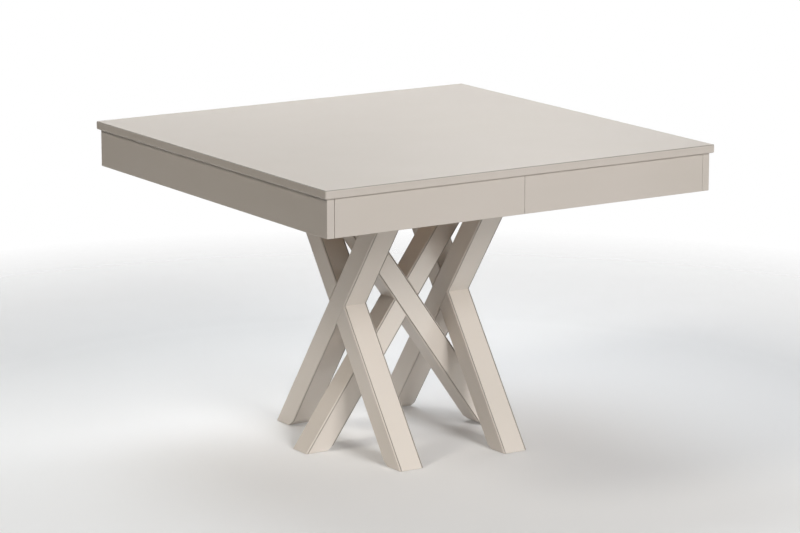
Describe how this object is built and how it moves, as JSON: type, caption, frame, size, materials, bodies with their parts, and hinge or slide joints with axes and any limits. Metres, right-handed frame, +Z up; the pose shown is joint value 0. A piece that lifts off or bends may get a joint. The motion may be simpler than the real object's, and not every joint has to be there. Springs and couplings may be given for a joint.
{
  "type": "extending dining table",
  "caption": "Square extending dining table on crossed leg frames; its split top and apron slide apart on geared runners to take a folding leaf stored inside.",
  "frame": {"origin": "on the floor, under the middle of the closed top", "axes": "+Z up; X the way the halves of the top open; the front of the table at -Y"},
  "size_m": [1.067, 1.067, 0.746],
  "materials": {
    "painted_wood": "smooth satin greige paint",
    "raw_wood": "planed hardwood, clear sealed",
    "steel": "zinc plated",
    "lock_steel": "pressed steel, zinc plated",
    "nylon": "natural moulded nylon",
    "glide": "matt moulded",
    "felt": "pressed felt strip",
    "brass": "turned, satin"
  },
  "bodies": {
    "base": {"left_frame_through_leg": "painted_wood", "left_frame_lapped_leg": "painted_wood", "middle_frame_through_leg": "painted_wood", "middle_frame_lapped_leg": "painted_wood", "right_frame_through_leg": "painted_wood", "right_frame_lapped_leg": "painted_wood", "foot_glides": "glide", "leg_bolts": "steel", "left_cross_bearer": "raw_wood", "right_cross_bearer": "raw_wood", "long_bearer": "raw_wood", "front_fixed_rail": "raw_wood", "back_fixed_rail": "raw_wood", "front_pinion_axle": "steel", "back_pinion_axle": "steel", "front_pinion_retainer": "steel", "back_pinion_retainer": "steel", "front_stop_dowels": "raw_wood", "back_stop_dowels": "raw_wood", "rail_screws": "steel", "leaf_lower_panel": "painted_wood", "leaf_upper_panel": "painted_wood", "leaf_pins": "brass", "leaf_hinges": "brass", "leaf_rests": "felt"},
    "left_half": {"left_top_panel": "painted_wood", "left_end_apron": "painted_wood", "left_front_apron": "painted_wood", "left_back_apron": "painted_wood", "left_front_corner_block": "raw_wood", "left_back_corner_block": "raw_wood", "left_top_cleats": "raw_wood", "left_runner_screws": "steel", "front_left_runner": "raw_wood", "back_left_runner": "raw_wood", "front_left_rack": "nylon", "back_left_rack": "nylon", "alignment_pins": "brass", "front_lock_plate": "lock_steel", "back_lock_plate": "lock_steel"},
    "right_half": {"right_top_panel": "painted_wood", "right_end_apron": "painted_wood", "right_front_apron": "painted_wood", "right_back_apron": "painted_wood", "right_front_corner_block": "raw_wood", "right_back_corner_block": "raw_wood", "right_top_cleats": "raw_wood", "right_runner_screws": "steel", "front_right_runner": "raw_wood", "back_right_runner": "raw_wood", "front_right_rack": "nylon", "back_right_rack": "nylon", "front_lock_keeper": "lock_steel", "back_lock_keeper": "lock_steel"},
    "front_pinion": {"front_pinion": "nylon"},
    "back_pinion": {"back_pinion": "nylon"},
    "front_lock": {"front_lock_lever": "lock_steel"},
    "back_lock": {"back_lock_lever": "lock_steel"}
  },
  "joints": [
    {"name": "right_top_slide", "type": "slide", "parent": "base", "child": "right_half", "axis": [1, 0, 0], "range_m": [0, 0.2285]},
    {"name": "left_top_slide", "type": "slide", "parent": "base", "child": "left_half", "axis": [-1, 0, 0], "range_m": [0, 0.2285]},
    {"name": "front_pinion_spin", "type": "hinge", "parent": "base", "child": "front_pinion", "pos_m": [0, -0.3255, 0.7085], "axis": [0, 0, 1], "range_deg": [-655, 0]},
    {"name": "back_pinion_spin", "type": "hinge", "parent": "base", "child": "back_pinion", "pos_m": [0, 0.3255, 0.7085], "axis": [0, 0, 1], "range_deg": [-655, 0]},
    {"name": "front_lock_swing", "type": "hinge", "parent": "left_half", "child": "front_lock", "pos_m": [-0.027, -0.42865, 0.7217], "axis": [0, 0, -1], "range_deg": [0, 70]},
    {"name": "back_lock_swing", "type": "hinge", "parent": "left_half", "child": "back_lock", "pos_m": [-0.027, 0.42865, 0.7217], "axis": [0, 0, 1], "range_deg": [0, 70]}
  ],
  "couplings": [
    {"joint": "left_top_slide", "follows": "right_top_slide", "ratio": 1},
    {"joint": "front_pinion_spin", "follows": "right_top_slide", "rad_per_m": -50},
    {"joint": "back_pinion_spin", "follows": "right_top_slide", "rad_per_m": -50}
  ]
}
